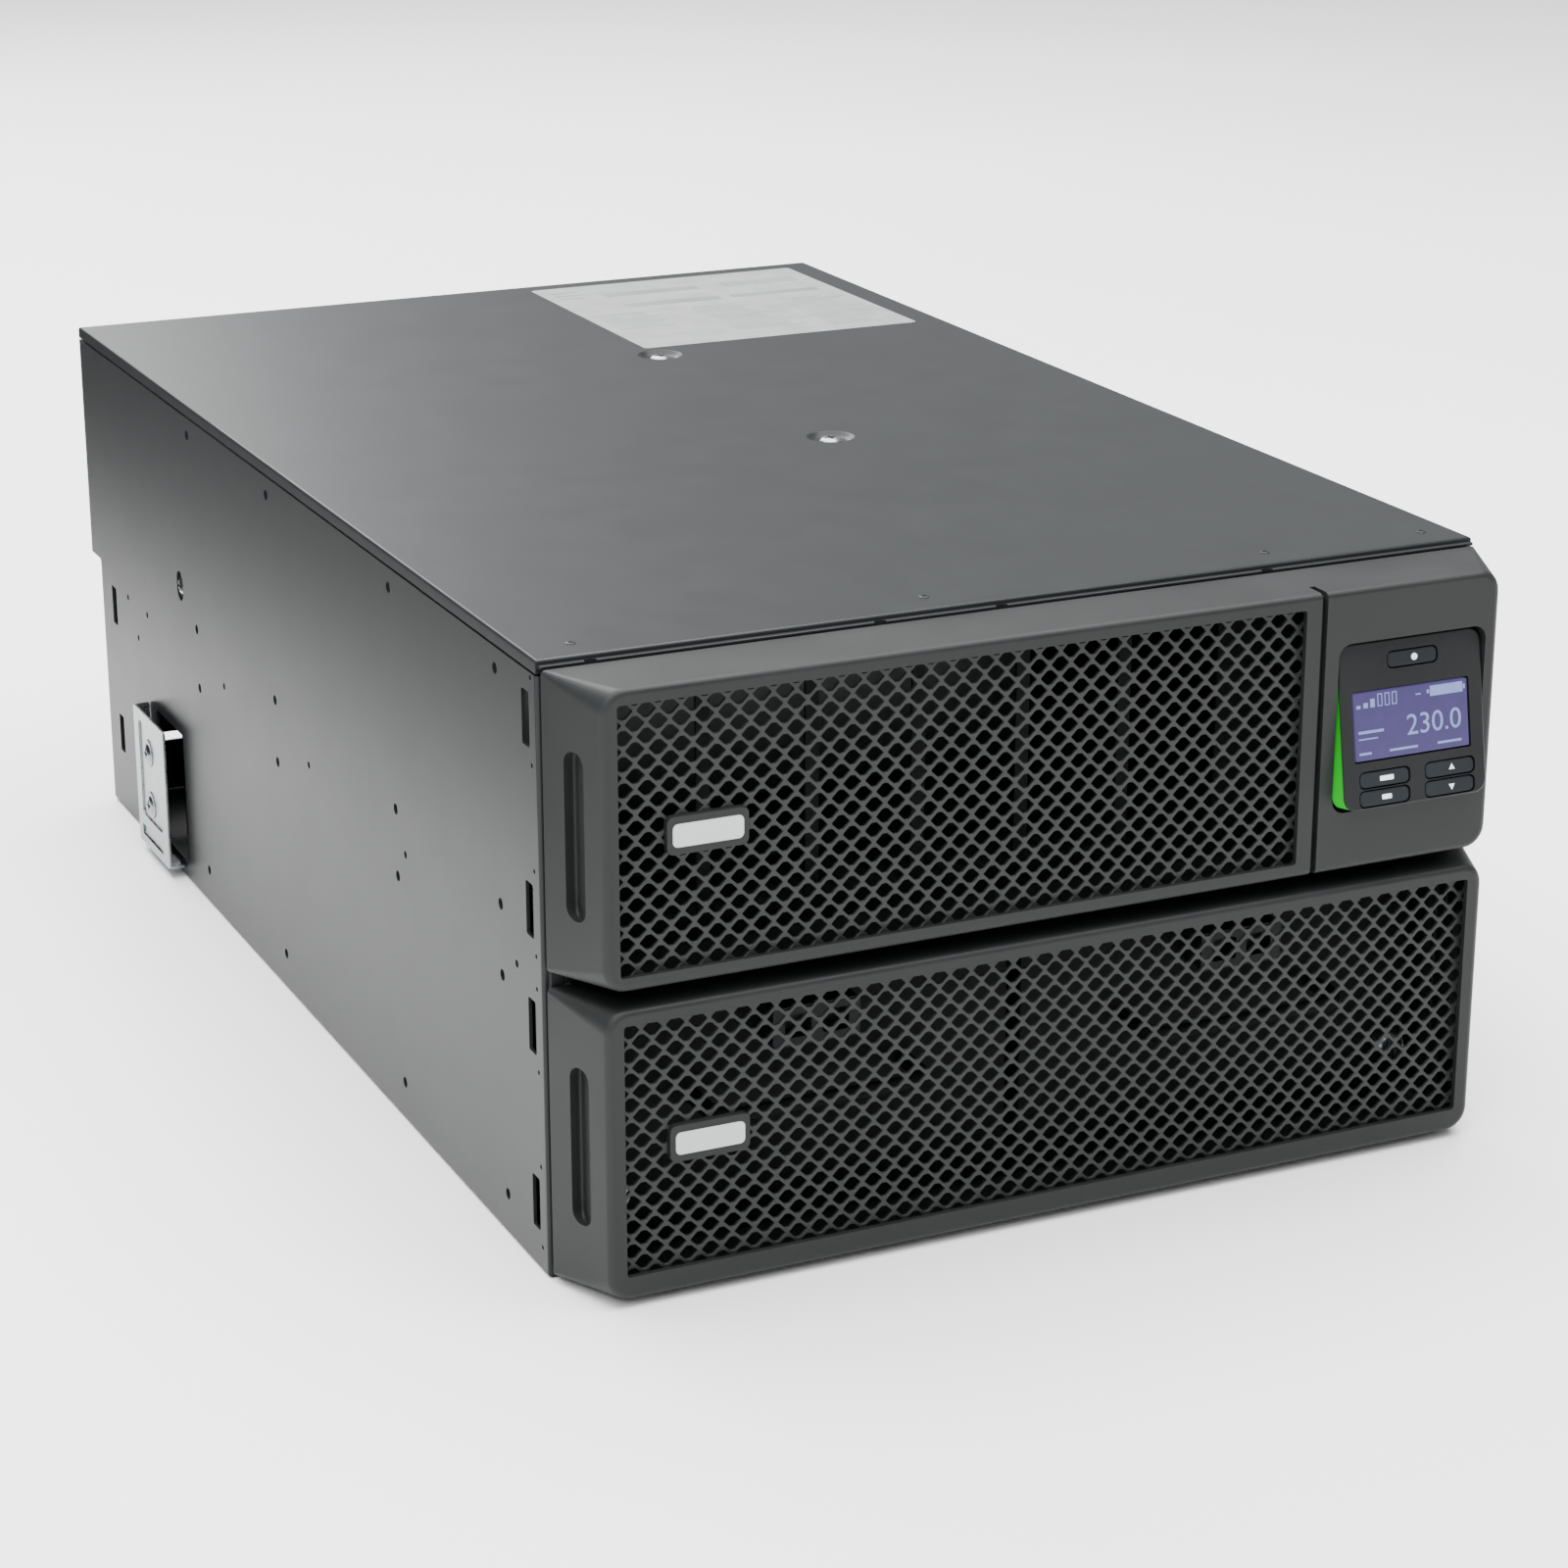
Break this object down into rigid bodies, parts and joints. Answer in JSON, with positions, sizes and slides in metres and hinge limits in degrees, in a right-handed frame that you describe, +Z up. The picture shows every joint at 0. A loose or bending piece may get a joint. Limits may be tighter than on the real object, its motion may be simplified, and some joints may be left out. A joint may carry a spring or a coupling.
{
  "type": "rackmount ups",
  "caption": "Six rack unit rackmount uninterruptible power supply with two clip-on mesh bezels, sliding battery modules and a tilting display head.",
  "frame": {"origin": "middle of the bounding box on the plane that the base rests on", "axes": "+X towards the right-hand side seen from the front, the front with the bezels faces -Y, +Z is up"},
  "size_m": [0.45, 0.738, 0.2637],
  "materials": {
    "case_paint": "satin dark grey powder coat",
    "inner_steel": "plain zinc-plated sheet",
    "black_paint": "matt black paint",
    "zinc": "bright zinc plate",
    "bezel_plastic": "charcoal, fine moulded texture",
    "grille_plastic": "grey moulded lattice",
    "badge": "light grey",
    "head_plastic": "dark charcoal, smooth matte",
    "key_plastic": "soft key",
    "screen": "lit liquid crystal display",
    "light_guide": "lit green light guide",
    "circuit_board": "solder mask",
    "battery_case": "moulded battery case",
    "black_plastic": "moulded black",
    "aluminium": "extruded",
    "copper": "enamelled copper winding",
    "label": "matt grey plate",
    "brass": "plain"
  },
  "bodies": {
    "chassis": {"chassis_tray": "case_paint", "top_cover": "case_paint", "top_label": "label", "mid_deck": "inner_steel", "front_panel": "black_paint", "rear_panel_upper": "case_paint", "rear_panel_lower": "case_paint", "rear_bracket_left": "zinc", "rear_bracket_right": "zinc", "display_dock": "inner_steel", "display_hinge_pin": "zinc", "power_board": "circuit_board", "capacitor_bank": "black_plastic", "heatsink_left": "aluminium", "heatsink_right": "aluminium", "output_inductor": "copper", "control_board": "circuit_board", "fan_frame_1": "black_plastic", "fan_frame_2": "black_plastic", "fan_frame_3": "black_plastic", "breaker_body": "black_plastic", "network_card": "inner_steel", "service_ports": "black_plastic", "terminal_block": "black_plastic", "terminal_cover": "case_paint", "battery_port": "black_plastic", "ground_stud": "brass"},
    "upper_bezel": {"upper_bezel": "bezel_plastic", "upper_grille": "grille_plastic", "upper_badge": "badge"},
    "display_head": {"display_housing": "head_plastic", "display_back": "black_plastic", "display_board": "circuit_board", "display_screen": "screen", "light_bar_left": "light_guide", "light_bar_right": "light_guide"},
    "power_key": {"power_button": "key_plastic"},
    "menu_key": {"menu_button": "key_plastic"},
    "enter_key": {"enter_button": "key_plastic"},
    "up_key": {"up_button": "key_plastic"},
    "down_key": {"down_button": "key_plastic"},
    "lower_bezel": {"lower_bezel": "bezel_plastic", "lower_grille": "grille_plastic", "lower_badge": "badge"},
    "fan_1": {"fan_rotor_1": "black_plastic"},
    "fan_2": {"fan_rotor_2": "black_plastic"},
    "fan_3": {"fan_rotor_3": "black_plastic"},
    "breaker_toggle": {"breaker_toggle": "head_plastic"},
    "battery_left": {"battery_tray_left": "black_paint", "battery_blocks_left": "battery_case", "battery_handle_left": "zinc", "battery_connector_left": "black_plastic", "battery_thumbscrew_left": "zinc"},
    "battery_right": {"battery_tray_right": "black_paint", "battery_blocks_right": "battery_case", "battery_handle_right": "zinc", "battery_connector_right": "black_plastic", "battery_thumbscrew_right": "zinc"}
  },
  "joints": [
    {"name": "upper_bezel_pull", "type": "slide", "parent": "chassis", "child": "upper_bezel", "axis": [0, -1, 0], "range_m": [0, 0.06]},
    {"name": "display_tilt", "type": "hinge", "parent": "chassis", "child": "display_head", "pos_m": [0.1621, -0.352, 0.2156], "axis": [-1, 0, 0], "range_deg": [-10, 25]},
    {"name": "battery_left_slide", "type": "slide", "parent": "chassis", "child": "battery_left", "axis": [0, -1, 0], "range_m": [0, 0.56]},
    {"name": "battery_right_slide", "type": "slide", "parent": "chassis", "child": "battery_right", "axis": [0, -1, 0], "range_m": [0, 0.56]},
    {"name": "lower_bezel_pull", "type": "slide", "parent": "battery_left", "child": "lower_bezel", "axis": [0, -1, 0], "range_m": [0, 0.06]},
    {"name": "power_press", "type": "slide", "parent": "display_head", "child": "power_key", "axis": [0, 0.9848, -0.1736], "range_m": [0, 0.0007], "stiffness_N_per_m": 800},
    {"name": "menu_press", "type": "slide", "parent": "display_head", "child": "menu_key", "axis": [0, 0.9848, -0.1736], "range_m": [0, 0.0007], "stiffness_N_per_m": 800},
    {"name": "enter_press", "type": "slide", "parent": "display_head", "child": "enter_key", "axis": [0, 0.9848, -0.1736], "range_m": [0, 0.0007], "stiffness_N_per_m": 800},
    {"name": "up_press", "type": "slide", "parent": "display_head", "child": "up_key", "axis": [0, 0.9848, -0.1736], "range_m": [0, 0.0007], "stiffness_N_per_m": 800},
    {"name": "down_press", "type": "slide", "parent": "display_head", "child": "down_key", "axis": [0, 0.9848, -0.1736], "range_m": [0, 0.0007], "stiffness_N_per_m": 800},
    {"name": "fan_1_spin", "type": "hinge", "parent": "chassis", "child": "fan_1", "pos_m": [-0.165, 0.3425, 0.197], "axis": [0, 1, 0], "continuous": true},
    {"name": "fan_2_spin", "type": "hinge", "parent": "chassis", "child": "fan_2", "pos_m": [-0.078, 0.3425, 0.197], "axis": [0, 1, 0], "continuous": true},
    {"name": "fan_3_spin", "type": "hinge", "parent": "chassis", "child": "fan_3", "pos_m": [0.009, 0.3425, 0.197], "axis": [0, 1, 0], "continuous": true},
    {"name": "breaker_switch", "type": "hinge", "parent": "chassis", "child": "breaker_toggle", "pos_m": [0.084, 0.351, 0.171], "axis": [1, 0, 0], "range_deg": [-40, 0]}
  ],
  "couplings": [
    {"joint": "battery_right_slide", "follows": "battery_left_slide", "ratio": 1}
  ]
}
